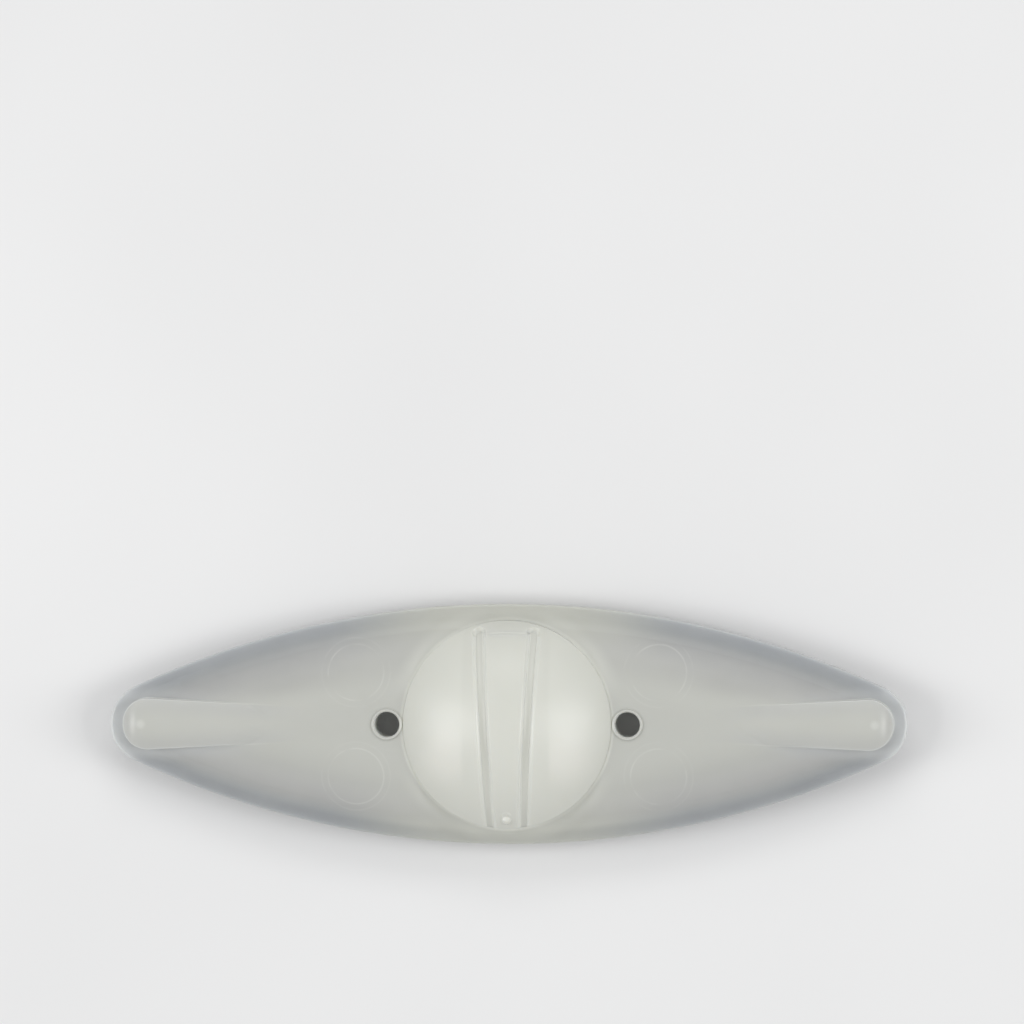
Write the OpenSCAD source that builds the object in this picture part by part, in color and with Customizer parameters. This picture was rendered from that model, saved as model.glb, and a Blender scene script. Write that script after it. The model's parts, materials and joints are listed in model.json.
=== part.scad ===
// Spoke wheel light: a frosted leaf-shaped light that is woven between three bicycle spokes.
// It lies on its back: X runs along the leaf, Y across it, +Z towards the front.
// The origin is under the middle of the rear face.

/* [Leaf outline] */
// Length of the leaf from tip to tip
body_length = 123; // [112:1:136]
// Width of the leaf at its middle
body_width = 37; // [36.5:0.5:42]
// Radius of the rounded tips
tip_radius = 6.25; // [5.75:0.25:7.5]

/* [Leaf section] */
// Width of the flat lip along the edge
lip_width = 1.5; // [1:0.1:2]
// Height of each shell's edge above the parting plane
lip_height = 1.2; // [1:0.1:1.6]
// Rounding of the lip's outer edge
edge_round = 0.4; // [0.2:0.05:0.6]
// Radius of the hollow curve where the lip turns up into the crown
sweep_radius = 4; // [3:0.25:6]
// Distance from the edge at which the crown becomes flat
crown_reach = 13; // [12:0.25:14]
// Rise of the front crown above its lip
front_rise = 3.2; // [2.8:0.1:3.8]
// Rise of the rear crown behind its lip
rear_rise = 2; // [1.8:0.1:2.6]
// Wall thickness of the two shells
wall = 1.5; // [1.3:0.1:1.7]

/* [Dome] */
// Diameter of the dome
dome_d = 32; // [32:0.2:33.2]
// Step from the crown up to the dome's edge
dome_step = 0.3; // [0.2:0.05:0.5]
// Height of the dome above its edge
dome_rise = 6.2; // [5.8:0.1:6.8]
// Wall thickness of the dome and of its press tab
dome_wall = 1.6; // [1.4:0.1:1.7]

/* [Press tab] */
// Distance of each slit from the middle of the dome
slit_offset = 3.45; // [3.2:0.05:4]
// Lean of each slit, outwards at the hinged end
slit_lean = 3.1; // [2:0.1:4]
// Width of the slits beside the press tab
slit_gap = 0.8; // [0.5:0.05:0.9]
// Rounding of the shoulders of each slit
slit_shoulder = 0.9; // [0.4:0.05:0.95]
// Radius of the ball that hollows the hinged end of each slit
slit_end_r = 1.4; // [1.25:0.05:1.5]
// Height of that ball's middle above the dome's surface
slit_end_lift = 0.85; // [0.65:0.05:0.95]
// Distance of the hinge line from the middle of the dome
hinge_y = 13.7; // [13.2:0.1:13.9]
// Radius of the hinge knuckle
knuckle_r = 0.35; // [0.3:0.05:0.4]
// Radial clearance of the hinge knuckle in its socket
hinge_clearance = 0.03; // [0.02:0.01:0.06]
// Length of the pin under the tab that works the switch
pin_length = 0.95; // [0.7:0.05:1.1]
// Diameter of that pin
pin_d = 2.4; // [2:0.1:2.8]
// Radius of the raised dot near the tab's free end
dot_radius = 0.98; // [0.8:0.02:1.1]
// Opening under the tab's free end
tab_lift = 1; // [0.8:0.1:1.2]

/* [End ridges] */
// Distance from the tip of the leaf to the nose of each ridge
ridge_inset = 2.1; // [1.8:0.1:2.4]
// Radius of the rounded nose in plan
ridge_nose_r = 3.9; // [3.4:0.1:4]
// Half width of the ridge at its inner end
ridge_tail = 2.4; // [2:0.1:3]
// Distance from the middle of the leaf to a ridge's inner end
ridge_start = 27; // [25:0.5:30]
// Height of the ridge's nose above the crown
ridge_proud = 0.5; // [0.3:0.05:0.7]
// Fall of the ridge towards the middle, in degrees
ridge_fall = 1.4; // [1.2:0.1:1.8]
// Radius of the ridge's rounded top
ridge_crown_r = 9; // [8:0.5:20]
// Rounding of the nose in side view
ridge_nose_round = 2.5; // [1.8:0.1:2.8]

/* [Tie holes] */
// Gap between the dome and the bead round each tie hole
tie_hole_gap = 0.1; // [0.1:0.05:0.5]
// Diameter of the tie holes
tie_hole_d = 3.9; // [3.4:0.1:4.2]
// Wall of the tube round each tie hole
tie_tube_wall = 1.25; // [1:0.05:1.4]
// Radius of the bead round the mouth of each hole
bead_radius = 0.22; // [0.16:0.02:0.26]

/* [Joining posts] */
// Distance of the posts from the middle, along the leaf
post_x = 23.3; // [23:0.1:24.5]
// Distance of the posts from the long axis
post_y = 8; // [7.5:0.1:8]
// Radius of each post's shoulder
post_shoulder_r = 4.3; // [4:0.1:4.4]
// Radius of each post's pin
post_pin_r = 2.9; // [2.4:0.1:3]
// Height of the pins above the parting plane
post_pin_h = 1.6; // [1.2:0.1:1.7]

/* [Battery cap] */
// Height of the round boss that the cap sits in
boss_height = 2.6; // [2.4:0.1:3]
// Wall of the boss round the cap
boss_wall = 1.35; // [1.2:0.05:1.5]
// Thickness of the cap's outer flange
cap_flange = 2.2; // [2.1:0.05:2.3]
// Radius of the cap's plug
plug_radius = 11.9; // [11.85:0.05:12]
// Wall of the cap's plug
plug_wall = 0.85; // [0.75:0.05:0.9]
// Reach of the bayonet lugs beyond the plug
lug_reach = 1; // [0.8:0.05:1.1]
// Thickness of the bayonet lugs
lug_height = 0.75; // [0.6:0.05:0.9]
// Angle that each lug covers
lug_angle = 24; // [18:1:26]
// Turn from closed to open
cap_turn = 45; // [40:1:48]
// Thickness of the sealing ring
seal_thickness = 0.96; // [0.8:0.02:1]

/* [Spoke groove] */
// Radius of the groove for the middle spoke, also the coin slot
spoke_groove_r = 1.1; // [1.05:0.05:1.3]
// Height of the spoke's axis above the rear face
spoke_axis_z = 0.2; // [0.1:0.05:0.3]

/* [Cells and board] */
// Diameter of the coin cells
cell_d = 20; // [19.8:0.1:20]
// Thickness of one coin cell
cell_h = 1.6; // [1.5:0.05:1.7]
// Diameter of the circuit board
board_d = 24; // [23.6:0.1:24.2]
// Thickness of the circuit board
board_h = 0.8; // [0.6:0.1:1]
// Room for the contact spring over the cells
contact_room = 0.7; // [0.6:0.05:0.9]
// Thickness of the contact strips
contact_t = 0.2; // [0.15:0.05:0.25]
// Width of the contact strips
contact_w = 3; // [2:0.1:3.4]

/* [Holder and diffuser] */
// Wall of the holder's sleeve round the cells
sleeve_wall = 0.65; // [0.55:0.05:0.7]
// Outer radius of the holder
holder_r = 13.2; // [13.1:0.05:13.3]
// Height of the holder's rim above the board
rim_height = 1; // [0.9:0.1:1.2]
// Distance of the holder's screws from the middle
screw_radius = 15; // [14.9:0.1:15.1]
// Diameter of the screw heads
screw_head_d = 3; // [2.6:0.1:3]
// Height of the screw heads
screw_head_h = 0.9; // [0.7:0.1:1]
// Diameter of the screw shanks
screw_d = 1.6; // [1.4:0.1:1.8]
// Length of the screw shanks
screw_length = 3; // [2.4:0.1:3.2]
// Thickness of the diffuser
diffuser_wall = 0.9; // [0.7:0.1:1]
// Room between the dome and the diffuser
diffuser_gap = 0.55; // [0.5:0.05:0.6]
// Depth of the diffuser's ribs below the dome's surface
rib_sunk = 0.8; // [0.75:0.05:1.2]
// Clearance on each side of these ribs in their slits
rib_clearance = 0.1; // [0.09:0.01:0.16]

/* [Switch and lamp] */
// Distance of the switch from the middle of the dome
switch_y = -5.4; // [-6:0.1:-5]
// Side of the square switch
switch_side = 6; // [5.6:0.1:6.2]
// Height of the switch with its cover
switch_h = 3.5; // [3.1:0.1:3.8]
// Diameter of the switch's plunger
plunger_d = 3.5; // [3:0.1:3.6]
// Height of the plunger above the cover
plunger_proud = 1; // [0.8:0.1:1.2]
// Outer diameter of the rubber boot on the plunger
boot_d = 4.6; // [4.4:0.1:4.8]
// Distance of the lamp from the middle of the dome
led_y = 5; // [4.6:0.1:5.6]
// Diameter of the lamp's body
led_d = 4.8; // [4.6:0.1:5]
// Diameter of the lamp's flange
led_flange_d = 5.6; // [5.4:0.1:5.8]

/* [Hidden] */
$fn = 64;

// Colours of the materials
frosted = [0.84, 0.85, 0.83, 0.9];
milky = [0.95, 0.95, 0.92];
nickel = [0.75, 0.75, 0.73];
black_plastic = [0.12, 0.12, 0.13];
board_green = [0.12, 0.38, 0.22];
lamp_epoxy = [0.9, 0.92, 0.95, 0.8];
ceramic_tan = [0.72, 0.6, 0.42];

// Leaf outline: side arcs that run tangent into the round tips
half_a = body_length / 2;
half_b = body_width / 2;
tip_x = half_a - tip_radius;
tangent_r = (tip_x * tip_x + half_b * half_b - tip_radius * tip_radius) / (2 * (half_b - tip_radius));
side_r = round(1000 * tangent_r) / 1000;
side_y = side_r - half_b;
tip_angle = atan2(side_y, tip_x);
sweep_fn = 240;
overlap = 1;
far = 200;

// Heights, from the rear face up
rear_lip_z = boss_height + rear_rise;
part_z = rear_lip_z + lip_height;
front_lip_z = part_z + lip_height;
crown_z = front_lip_z + front_rise;
dome_edge_z = crown_z + dome_step;
dome_top_z = dome_edge_z + dome_rise;

// Dome: a ball cut by a cylinder
dome_r = dome_d / 2;
ball_r = (dome_r * dome_r + dome_rise * dome_rise) / (2 * dome_rise);
ball_z = dome_top_z - ball_r;
ball_in_r = ball_r - dome_wall;
dome_in_r = dome_r - dome_wall;
dome_foot_z = front_lip_z - lip_height / 2;
function ball_height(r, d) = ball_z + sqrt(r * r - d * d);

// Press tab: its hinge lies in the middle of the dome's wall
hinge_arm_r = ball_r - dome_wall / 2;
hinge_angle = asin(hinge_y / hinge_arm_r);
hinge_slot = 2 * hinge_clearance;
slit_r = sqrt(ball_r * ball_r - slit_offset * slit_offset);
slit_tilt = asin(slit_offset / ball_r);
slit_overrun = 1.2;
slit_top = hinge_angle + slit_overrun;
slit_bottom = 46.5;
slit_depth = dome_wall + overlap;
dot_inset = 1.6;
dot_y = dot_inset - dome_r;
dot_sunk = 0.55;
pin_top_sunk = 0.7;
tab_under_z = ball_height(ball_in_r, -switch_y);
pin_tip_z = tab_under_z - pin_length;
sill_rise = 0.9;
sill_z = front_lip_z + sill_rise;
tab_end_z = sill_z + tab_lift;

// Ridges
ridge_nose_x = half_a - ridge_inset - ridge_nose_r;
ridge_top_z = crown_z + ridge_proud;
ridge_wall = 1.4;

// Tie holes and posts
tie_hole_r = tie_hole_d / 2;
tie_tube_r = tie_hole_r + tie_tube_wall;
bead_margin = 0.03;
bead_lift = 0.06;
bead_ring_r = tie_hole_r + bead_radius + bead_margin;
tie_hole_x = dome_r + tie_hole_gap + bead_ring_r + bead_radius;
post_fit = 0.05;
post_end_room = 0.2;

// Battery cap and its seat
floor_z = boss_height + wall;
boss_r = dome_r;
counterbore_r = boss_r - boss_wall;
cap_side_gap = 0.2;
cap_face_gap = 0.1;
flange_r = counterbore_r - cap_side_gap;
seat_z = cap_flange + cap_face_gap;
plug_clearance = 0.1;
bore_r = plug_radius + plug_clearance;
lug_clearance = 0.15;
lug_z = floor_z + lug_clearance;
lug_top_z = lug_z + lug_height;
lug_r = plug_radius + lug_reach;
lug_count = 3;
lug_play = 1;
notch_r = lug_r + lug_clearance;
well_r = screw_radius - screw_d / 2;
cup_r = plug_radius - plug_wall;
cap_web = 1.25;
cap_floor_z = spoke_axis_z + spoke_groove_r + cap_web;
seal_minor = seal_thickness / 2;
seal_lift = 0.04;
seal_shift = 0.1;
seal_ring_r = (notch_r + counterbore_r) / 2 - seal_shift;
seal_z = cap_flange + seal_lift + seal_minor;
seal_groove_w = seal_thickness + seal_lift;

// Cells, board and holder
cell_float = 0.05;
cell_r = cell_d / 2;
cell_z = cap_floor_z + cell_float;
cells_top_z = cell_z + 2 * cell_h;
board_z = cells_top_z + contact_room;
board_top_z = board_z + board_h;
board_r = board_d / 2;
board_fit = 0.1;
cell_fit = 0.15;
lid_share = 0.86;
lid_h = 0.25;
lid_seal = 0.5;
sleeve_r = cell_r + cell_fit;
sleeve_lift = 0.25;
sleeve_end_z = cell_z + sleeve_lift;
lug_room = 0.2;
holder_z = lug_top_z + lug_room;
rim_top_z = board_top_z + rim_height;
ear_h = 1;
ear_margin = 0.1;
ear_r = screw_head_d / 2 + ear_margin;
screw_angles = [30, 210];
screw_fit = 0.05;
slot_play = 0.2;

// Diffuser
diffuser_out_r = ball_in_r - diffuser_gap;
diffuser_in_r = diffuser_out_r - diffuser_wall;
skirt_fit = 0.05;
skirt_in_r = holder_r + skirt_fit;
skirt_r = skirt_in_r + diffuser_wall;
skirt_end_z = board_top_z;
shoulder = 0.75;
rib_w = slit_gap - 2 * rib_clearance;
rib_root = dome_wall + diffuser_gap + diffuser_wall / 2;
rib_end_gap = 0.4;
rib_top = slit_top - rib_end_gap;
rib_bottom = asin(dome_r / ball_r) - rib_end_gap;
boot_room = 0.4;
boot_hole_r = boot_d / 2 + boot_room;

// Switch and lamp
cover_t = 0.2;
switch_top_z = board_top_z + switch_h;
plunger_r = plunger_d / 2;
plunger_fit = 0.1;
plunger_top_z = switch_top_z + plunger_proud;
plunger_inside = 0.6;
plunger_room = 0.4;
boot_fit = 0.05;
boot_skirt = 0.55;
press_gap = 0.05;
boot_top_z = pin_tip_z - press_gap;
leg_w = 0.7;
leg_t = 0.3;
leg_x = switch_side / 2 + leg_t / 2;
leg_y = 2.25;
leg_play = 0.1;
lead_r = 0.25;
lead_x = 1.27;
lead_end = 0.4;
led_gap = 0.3;
led_r = led_d / 2;
led_flange_h = 0.8;
led_bevel = 0.3;
led_cap_r = led_r + led_bevel;
led_top_z = ball_height(diffuser_in_r, led_y + led_r) - led_gap;

// Places and sizes of the small parts on the board
chip_x = 6.5;
chip_y = 2.5;
chip_r = 2;
chip_h = 0.9;
resistor_x = -7.4;
resistor_rows = [0.4, 2.2, 4];
resistor_size = [1.6, 0.8, 0.5];
capacitor_x = 6;
capacitor_y = -2.4;
capacitor_size = [2, 1.25, 0.9];

// A solid with the leaf's outline; children give its section, measured inwards from the edge
module leaf() {
    for (x = [0, 1], y = [0, 1])
        mirror([x, 0, 0])
            mirror([0, y, 0])
                intersection() {
                    leaf_quarter() children();
                    translate([0, 0, -far / 2]) cube(far);
                }
}

// A quarter of the leaf and a little more, set out from the middle of its side arc
module leaf_quarter() {
    spare = 5;
    translate([0, -side_y, 0])
        rotate(tip_angle) {
            rotate_extrude(angle = 90 - tip_angle + spare, $fn = sweep_fn)
                translate([side_r, 0]) mirror([1, 0]) children();
            translate([side_r - tip_radius, 0, 0])
                rotate_extrude(angle = tip_angle + spare, start = -tip_angle - spare)
                    translate([tip_radius, 0]) mirror([1, 0])
                        intersection() {
                            children();
                            translate([0, -far / 2]) square([tip_radius, far]);
                        }
        }
}

// Section of a shell: round-edged lip, hollow sweep, round crown and flat middle
module crown_section(rise) {
    turn = 2 * atan(rise / (crown_reach - lip_width));
    crown_r = (crown_reach - lip_width) / sin(turn) - sweep_radius;
    sweep_end = lip_width + sweep_radius * sin(turn);
    top = lip_height + rise;
    square([edge_round, lip_height - edge_round]);
    translate([edge_round, lip_height - edge_round])
        intersection() {
            circle(edge_round);
            translate([-edge_round, 0]) square(edge_round);
        }
    translate([edge_round, 0]) square([lip_width - edge_round, lip_height]);
    difference() {
        translate([lip_width, 0]) square([sweep_end - lip_width, top]);
        translate([lip_width, lip_height + sweep_radius]) circle(sweep_radius);
    }
    intersection() {
        translate([crown_reach, top - crown_r]) circle(crown_r);
        translate([sweep_end, 0]) square([crown_reach - sweep_end, top + overlap]);
    }
    translate([crown_reach, 0]) square([half_b + overlap - crown_reach, top]);
}

// Section of the hollow inside a shell, one wall below its crown
module hollow_section(rise) {
    turn = 2 * atan(rise / (crown_reach - lip_width));
    crown_r = (crown_reach - lip_width) / sin(turn) - sweep_radius;
    top = lip_height + rise;
    intersection() {
        translate([crown_reach, top - crown_r]) circle(crown_r - wall);
        translate([0, -overlap]) square([crown_reach, top + overlap]);
    }
    translate([crown_reach, -overlap]) square([half_b + overlap - crown_reach, top - wall + overlap]);
}

// Places for what comes in pairs or fours
module at_tie_holes() {
    for (x = [-tie_hole_x, tie_hole_x]) translate([x, 0, 0]) children();
}

module at_posts() {
    for (x = [-post_x, post_x], y = [-post_y, post_y]) translate([x, y, 0]) children();
}

module at_screws() {
    for (a = screw_angles) rotate(a) translate([screw_radius, 0, 0]) children();
}

module at_ends() {
    for (side = [0, 1]) mirror([side, 0, 0]) children();
}

// A ring sector round the middle axis, from radius r1 to r2
module sector(r1, r2, z1, z2, start, angle) {
    translate([0, 0, z1])
        rotate_extrude(angle = angle, start = start)
            translate([r1, 0]) square([r2 - r1, z2 - z1]);
}

// Bead round the mouth of a tie hole
module bead() {
    translate([0, 0, crown_z + bead_lift])
        rotate_extrude()
            translate([bead_ring_r, 0]) {
                circle(bead_radius);
                translate([-bead_radius, -wall]) square([2 * bead_radius, wall]);
            }
}

// Dome: the outer ball and its hollow
module dome_solid() {
    intersection() {
        translate([0, 0, ball_z]) sphere(ball_r, $fn = 128);
        translate([0, 0, dome_foot_z]) cylinder(r = dome_r, h = dome_top_z, $fn = 128);
    }
}

module dome_hollow() {
    intersection() {
        translate([0, 0, ball_z]) sphere(ball_in_r, $fn = 128);
        translate([0, 0, part_z - overlap]) cylinder(r = dome_in_r, h = dome_top_z, $fn = 128);
    }
}

// Ridge: a tongue in plan with a rounded top that falls towards the middle
module tongue(inset) {
    polygon([
        [ridge_nose_x, ridge_nose_r - inset],
        [ridge_start, ridge_tail - inset],
        [ridge_start, inset - ridge_tail],
        [ridge_nose_x, inset - ridge_nose_r]
    ]);
    translate([ridge_nose_x, 0])
        intersection() {
            circle(ridge_nose_r - inset);
            translate([0, -far / 2]) square(far);
        }
}

module ridge() {
    nose_end = ridge_nose_r + ridge_crown_r * sin(ridge_fall);
    length = ridge_nose_x - ridge_start + overlap;
    intersection() {
        translate([0, 0, dome_foot_z]) linear_extrude(far) tongue(0);
        translate([ridge_nose_x, 0, ridge_top_z - ridge_crown_r])
            rotate([0, 90 - ridge_fall, 0])
                rotate_extrude($fn = 128) {
                    translate([0, -length]) square([ridge_crown_r - ridge_nose_round, length + nose_end]);
                    translate([ridge_crown_r - ridge_nose_round, -length])
                        square([ridge_nose_round, length + nose_end - ridge_nose_round]);
                    translate([ridge_crown_r - ridge_nose_round, nose_end - ridge_nose_round])
                        intersection() {
                            circle(ridge_nose_round);
                            square(ridge_nose_round);
                        }
                }
    }
}

module ridge_pocket() {
    translate([0, 0, part_z - overlap])
        linear_extrude(crown_z - wall - part_z + overlap)
            tongue(ridge_wall);
}

// A sweep along one of the slits beside the press tab; its section stands square to the dome's surface
module along_slit(side, top, bottom) {
    translate([0, 0, ball_z])
        rotate(-side * slit_lean)
            translate([side * slit_offset, 0, 0])
                rotate([0, 90, 0])
                    rotate_extrude(angle = top + bottom, start = 180 - top, $fn = sweep_fn)
                        translate([slit_r, 0]) rotate(side * slit_tilt) children();
}

// Slit with rounded shoulders and a round hollow at its hinged end
module slit(side) {
    end_point = [side * slit_offset, slit_r * sin(slit_top), slit_r * cos(slit_top)];
    end_scale = 1 + slit_end_lift / ball_r;
    along_slit(side, slit_top, slit_bottom) slit_section();
    translate([0, 0, ball_z])
        rotate(-side * slit_lean)
            translate(end_scale * end_point) sphere(slit_end_r);
}

module slit_section() {
    flare = slit_gap / 2 + slit_shoulder;
    translate([-slit_depth, -slit_gap / 2]) square([slit_depth - slit_shoulder, slit_gap]);
    difference() {
        translate([-slit_shoulder, -flare]) square([slit_shoulder + overlap, 2 * flare]);
        for (v = [-flare, flare]) translate([-slit_shoulder, v]) circle(slit_shoulder);
    }
}

// Rib of the diffuser that stands in a slit and closes it from below
module slit_rib(side) {
    along_slit(side, rib_top, rib_bottom)
        translate([-rib_root, -rib_w / 2]) square([rib_root - rib_sunk, rib_w]);
}

// Plan of the press tab, between the middles of the two slits
module tab_plan() {
    y = dome_r + overlap;
    middle = slit_offset / cos(slit_lean);
    spread = y * tan(slit_lean);
    linear_extrude(far)
        polygon([
            [middle + spread, y], [-middle - spread, y],
            [spread - middle, -y], [middle - spread, -y]
        ]);
}

// The hinge's own frame: its origin is on the hinge line, with Z out of the dome
module at_hinge() {
    translate([0, 0, ball_z]) rotate([-hinge_angle, 0, 0]) translate([0, 0, hinge_arm_r]) children();
}

module beyond_hinge(gap) {
    at_hinge() translate([-far / 2, gap, -far / 2]) cube(far);
}

module hinge_round(r) {
    at_hinge() rotate([0, 90, 0]) cylinder(r = r, h = dome_r, center = true);
}

// Opening in the dome for the press tab
module tab_window() {
    intersection() {
        translate([0, 0, sill_z]) tab_plan();
        union() {
            difference() {
                translate([0, 0, sill_z]) cylinder(r = dome_r + overlap / 2, h = dome_top_z);
                beyond_hinge(hinge_slot);
            }
            hinge_round(knuckle_r + hinge_clearance);
        }
    }
}

// Front shell
module front_shell() {
    color(frosted)
        difference() {
            union() {
                translate([0, 0, part_z]) leaf() crown_section(front_rise);
                dome_solid();
                at_ends() ridge();
                at_tie_holes() bead();
            }
            difference() {
                union() {
                    translate([0, 0, part_z]) leaf() hollow_section(front_rise);
                    dome_hollow();
                    at_ends() ridge_pocket();
                }
                at_tie_holes() translate([0, 0, part_z]) cylinder(r = tie_tube_r, h = dome_top_z);
                at_posts() translate([0, 0, part_z]) cylinder(r = post_shoulder_r, h = dome_top_z);
            }
            at_tie_holes() translate([0, 0, part_z - overlap]) cylinder(r = tie_hole_r, h = dome_top_z);
            at_posts()
                translate([0, 0, part_z - overlap])
                    cylinder(r = post_pin_r + post_fit, h = post_pin_h + post_end_room + overlap);
            tab_window();
            for (side = [-1, 1]) slit(side);
        }
}

// Rear shell: the back of the leaf, with the boss and bayonet seat for the battery cap
module rear_shell() {
    color(frosted)
        difference() {
            union() {
                difference() {
                    union() {
                        translate([0, 0, part_z]) mirror([0, 0, 1]) leaf() crown_section(rear_rise);
                        cylinder(r = boss_r, h = floor_z, $fn = 128);
                    }
                    difference() {
                        union() {
                            translate([0, 0, part_z]) mirror([0, 0, 1]) leaf() hollow_section(rear_rise);
                            translate([0, 0, floor_z]) cylinder(r = well_r, h = part_z);
                        }
                        at_tie_holes() cylinder(r = tie_tube_r, h = part_z);
                        at_posts() cylinder(r = post_shoulder_r, h = part_z);
                        at_screws() cylinder(r = ear_r, h = holder_z);
                        cap_stops();
                    }
                }
                at_posts()
                    translate([0, 0, part_z - overlap / 2])
                        cylinder(r = post_pin_r, h = post_pin_h + overlap / 2);
            }
            at_tie_holes() translate([0, 0, -overlap]) cylinder(r = tie_hole_r, h = dome_top_z);
            translate([0, 0, -overlap]) cylinder(r = counterbore_r, h = seat_z + overlap, $fn = 128);
            translate([0, 0, -overlap]) cylinder(r = bore_r, h = dome_top_z, $fn = 128);
            for (lug = [0 : lug_count - 1])
                sector(
                    bore_r - overlap, notch_r, seat_z - overlap / 2, floor_z + overlap / 2,
                    lug_start(lug) - cap_turn - lug_play, lug_angle + 2 * lug_play
                );
            translate([0, 0, seat_z - overlap / 2])
                rotate_extrude()
                    translate([seal_ring_r - seal_groove_w / 2, 0])
                        square([seal_groove_w, seal_z + seal_minor - seat_z + overlap / 2]);
            at_screws()
                translate([0, 0, holder_z - screw_length + ear_h - overlap / 2])
                    cylinder(r = screw_d / 2, h = screw_length + overlap);
            spoke_groove();
        }
}

// Angle at which a lug starts when the cap is closed
function lug_start(lug) = 90 - lug_angle / 2 + lug * 360 / lug_count;

// Ribs that stop the lugs, closed and open
module cap_stops() {
    for (lug = [0 : lug_count - 1])
        sector(
            bore_r + lug_clearance, well_r + overlap, floor_z - overlap / 2, lug_top_z,
            lug_start(lug) + lug_angle + lug_play,
            360 / lug_count - lug_angle - cap_turn - 2 * lug_play
        );
}

module spoke_groove() {
    translate([0, 0, spoke_axis_z])
        rotate([90, 0, 0])
            cylinder(r = spoke_groove_r, h = 2 * boss_r + 2 * overlap, center = true);
}

// Press tab: a strip of the dome that swings on its wide end and works the switch
module press_tab() {
    color(frosted) {
        difference() {
            intersection() {
                translate([0, 0, part_z]) tab_plan();
                union() {
                    difference() {
                        dome_solid();
                        beyond_hinge(0);
                    }
                    hinge_round(knuckle_r);
                }
            }
            translate([0, 0, ball_z]) sphere(ball_in_r, $fn = 128);
            for (side = [-1, 1]) slit(side);
            translate([-far / 2, -far / 2, tab_end_z - far]) cube(far);
        }
        translate([0, switch_y, pin_tip_z]) cylinder(d = pin_d, h = pin_length + pin_top_sunk);
        translate([0, dot_y, ball_height(ball_r - dot_sunk, dot_y)]) sphere(dot_radius);
    }
}

// Battery cap: a coin-slot bayonet cap with the spoke groove across it
module battery_cap() {
    color(frosted)
        difference() {
            union() {
                cylinder(r = flange_r, h = cap_flange, $fn = 128);
                translate([0, 0, cap_flange - overlap / 2])
                    cylinder(r = plug_radius, h = lug_top_z - cap_flange + overlap / 2, $fn = 128);
                for (lug = [0 : lug_count - 1])
                    sector(plug_radius - plug_wall / 2, lug_r, lug_z, lug_top_z, lug_start(lug), lug_angle);
            }
            translate([0, 0, cap_floor_z]) cylinder(r = cup_r, h = dome_top_z, $fn = 128);
            spoke_groove();
        }
}

module cap_seal() {
    color(black_plastic)
        translate([0, 0, seal_z])
            rotate_extrude()
                translate([seal_ring_r, 0]) circle(seal_minor);
}

// Battery holder: a sleeve round the cells, a seat and rim for the board and two screw ears
module battery_holder() {
    color(milky)
        difference() {
            union() {
                translate([0, 0, sleeve_end_z])
                    cylinder(r = sleeve_r + sleeve_wall, h = board_z - sleeve_end_z);
                translate([0, 0, holder_z]) cylinder(r = holder_r, h = rim_top_z - holder_z, $fn = 128);
                translate([0, 0, holder_z])
                    linear_extrude(ear_h)
                        for (a = screw_angles) rotate(a) {
                            translate([0, -ear_r]) square([screw_radius, 2 * ear_r]);
                            translate([screw_radius, 0]) circle(ear_r);
                        }
            }
            translate([0, 0, -overlap]) cylinder(r = sleeve_r, h = far, $fn = 128);
            translate([0, 0, board_z]) cylinder(r = board_r + board_fit, h = far, $fn = 128);
            at_screws()
                translate([0, 0, holder_z - overlap])
                    cylinder(r = screw_d / 2 + screw_fit, h = ear_h + 2 * overlap);
            translate([cell_r - overlap, -contact_w / 2 - slot_play, 0])
                cube([overlap + cell_fit + sleeve_wall + slot_play, contact_w + 2 * slot_play, board_z]);
        }
}

module holder_screws() {
    color(nickel)
        at_screws() translate([0, 0, holder_z + ear_h]) {
            difference() {
                cylinder(d = screw_head_d, h = screw_head_h);
                for (a = [0, 90])
                    rotate(a) translate([-screw_head_d / 3, -screw_d / 8, screw_head_h / 2])
                        cube([2 * screw_head_d / 3, screw_d / 4, screw_head_h]);
            }
            translate([0, 0, -screw_length]) cylinder(d = screw_d, h = screw_length);
        }
}

// Coin cell: a can with a smaller lid on its front face
module coin_cell() {
    lid_r = cell_r * lid_share;
    cylinder(r = cell_r, h = cell_h - lid_h, $fn = 128);
    translate([0, 0, cell_h - lid_h]) cylinder(r = lid_r + lid_seal, h = lid_h / 2, $fn = 128);
    translate([0, 0, cell_h - lid_h / 2]) cylinder(r = lid_r, h = lid_h / 2, $fn = 128);
}

module lower_cell() {
    color(nickel) translate([0, 0, cell_z]) coin_cell();
}

module upper_cell() {
    color(nickel) translate([0, 0, cell_z + cell_h]) coin_cell();
}

// Leaf spring between the board and the upper cell
module negative_contact() {
    pad = 4;
    bend = 1;
    foot = 5;
    end = 6.5;
    color(nickel)
        rotate([90, 0, 0])
            linear_extrude(contact_w, center = true)
                polygon([
                    [-pad, board_z], [bend, board_z],
                    [foot, cells_top_z + contact_t], [end, cells_top_z + contact_t],
                    [end, cells_top_z], [foot, cells_top_z],
                    [bend, board_z - contact_t], [-pad, board_z - contact_t]
                ]);
}

// Strip that runs from the board down to the side of the lower cell
module positive_contact() {
    leg_in = cell_r + cell_fit + sleeve_wall / 2;
    toe_x = cell_r + cell_float;
    toe_z = cell_z + cell_h / 4;
    toe_h = cell_h / 3;
    pad_length = 1.4;
    pad = cell_r - pad_length;
    color(nickel)
        rotate([90, 0, 0])
            linear_extrude(contact_w, center = true)
                polygon([
                    [pad, board_z], [leg_in + contact_t, board_z],
                    [leg_in + contact_t, toe_z], [toe_x + contact_t, toe_z],
                    [toe_x, toe_z + contact_t], [toe_x, toe_z + toe_h], [leg_in, toe_z + toe_h + contact_t],
                    [leg_in, board_z - contact_t], [pad, board_z - contact_t]
                ]);
}

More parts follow.
